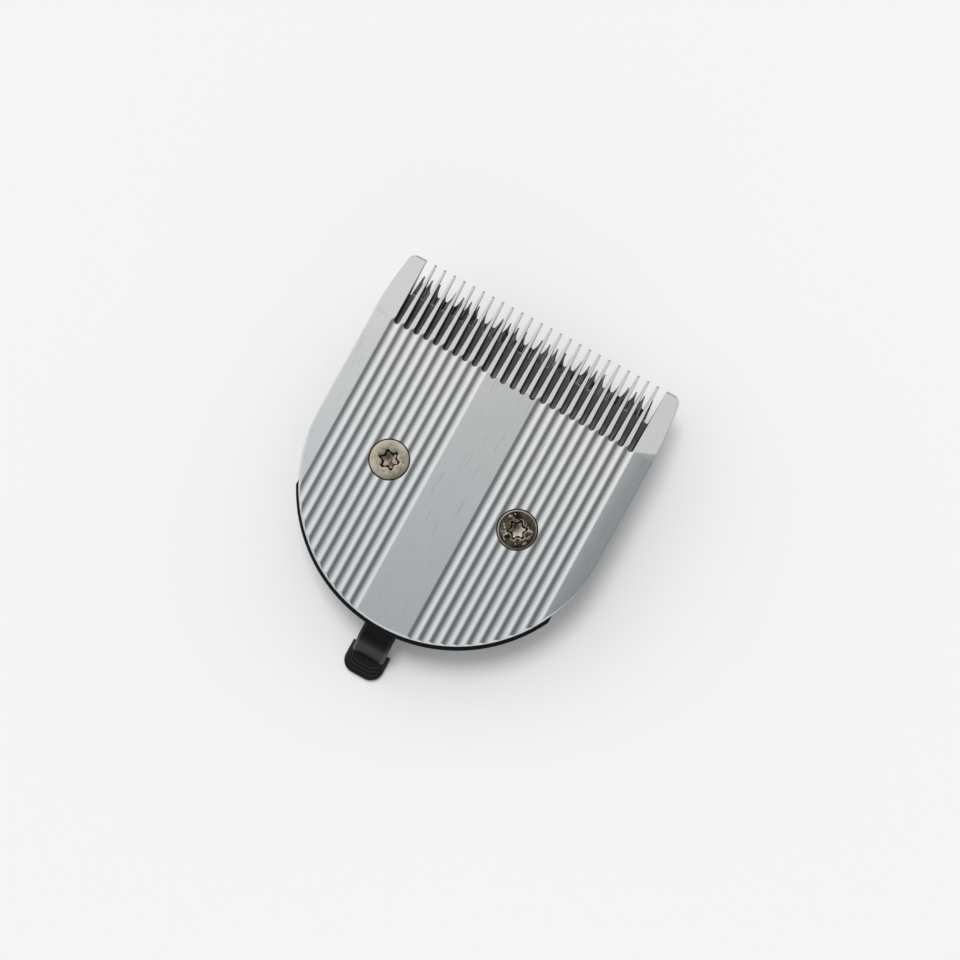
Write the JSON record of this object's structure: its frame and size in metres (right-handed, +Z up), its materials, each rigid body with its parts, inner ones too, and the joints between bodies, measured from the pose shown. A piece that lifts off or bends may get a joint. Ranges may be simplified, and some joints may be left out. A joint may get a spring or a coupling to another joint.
{
  "type": "hair clipper blade set",
  "caption": "Detachable hair clipper blade set: ribbed steel comb plate screwed to a black hooked holder, with a dark cutter that slides sideways under the comb's teeth.",
  "frame": {"origin": "under the middle of the overall length and width, on the plane that the holder's rim rests on", "axes": "+Y towards the teeth, +Z up out of the ribbed face, +X to the right seen from above with the teeth away from the viewer"},
  "size_m": [0.0458, 0.0582, 0.0124],
  "materials": {
    "ground_steel": "ground, satin",
    "dark_steel": "dark coated, satin",
    "carrier_plastic": "moulded, matt",
    "spring_wire": "drawn wire",
    "black_plastic": "moulded, satin",
    "screw_steel": "plated, satin"
  },
  "bodies": {
    "holder": {"blade_base": "black_plastic", "comb_plate": "ground_steel", "comb_screws": "screw_steel", "pressure_spring": "spring_wire"},
    "cutter": {"cutter_blade": "dark_steel", "cutter_carrier": "carrier_plastic"}
  },
  "joints": [
    {"name": "cutter_stroke", "type": "slide", "parent": "holder", "child": "cutter", "axis": [1, 0, 0], "range_m": [-0.0011, 0.0015]}
  ]
}
